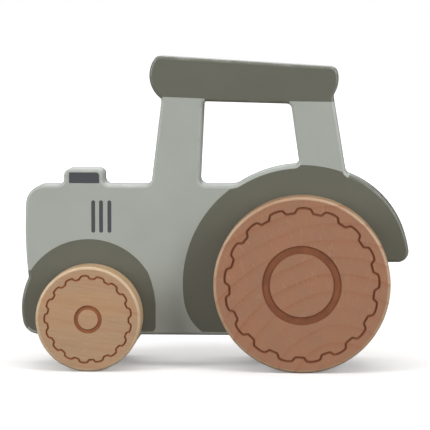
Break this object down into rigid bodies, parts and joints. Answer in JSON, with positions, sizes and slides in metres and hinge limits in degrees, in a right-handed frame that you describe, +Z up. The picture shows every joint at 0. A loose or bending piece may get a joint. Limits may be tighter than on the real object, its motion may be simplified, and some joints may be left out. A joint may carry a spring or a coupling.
{
  "type": "toy tractor",
  "caption": "Push-along wooden toy tractor sawn from one painted board, with an open cab window and turned wheels glued to dowel axles that spin in the board.",
  "frame": {"origin": "on the ground under the middle of the tractor's length and width", "axes": "+X along the tractor towards its back, so the nose points to -X; +Y across it towards its right side; +Z up"},
  "size_m": [0.1778, 0.055, 0.1428],
  "materials": {
    "board_paint": "satin water-based paint in sage grey on a smooth sanded board, with dark olive grey mudguards and roof",
    "front_wheel_wood": "pale sanded beech, waxed, with laser-burnt lines",
    "rear_wheel_wood": "pinkish sanded beech, waxed, with laser-burnt lines",
    "axle_wood": "bare beech dowel",
    "washer_wood": "bare birch plywood"
  },
  "bodies": {
    "tractor_body": {"body_board": "board_paint"},
    "front_wheels": {"front_axle": "axle_wood", "front_wheel_left": "front_wheel_wood", "front_wheel_right": "front_wheel_wood", "front_washer_left": "washer_wood", "front_washer_right": "washer_wood"},
    "rear_wheels": {"rear_axle": "axle_wood", "rear_wheel_left": "rear_wheel_wood", "rear_wheel_right": "rear_wheel_wood", "rear_washer_left": "washer_wood", "rear_washer_right": "washer_wood"}
  },
  "joints": [
    {"name": "front_axle_spin", "type": "hinge", "parent": "tractor_body", "child": "front_wheels", "pos_m": [-0.05632, 0, 0.024], "axis": [0, 1, 0], "continuous": true},
    {"name": "rear_axle_spin", "type": "hinge", "parent": "tractor_body", "child": "rear_wheels", "pos_m": [0.04053, 0, 0.04], "axis": [0, 1, 0], "continuous": true}
  ]
}
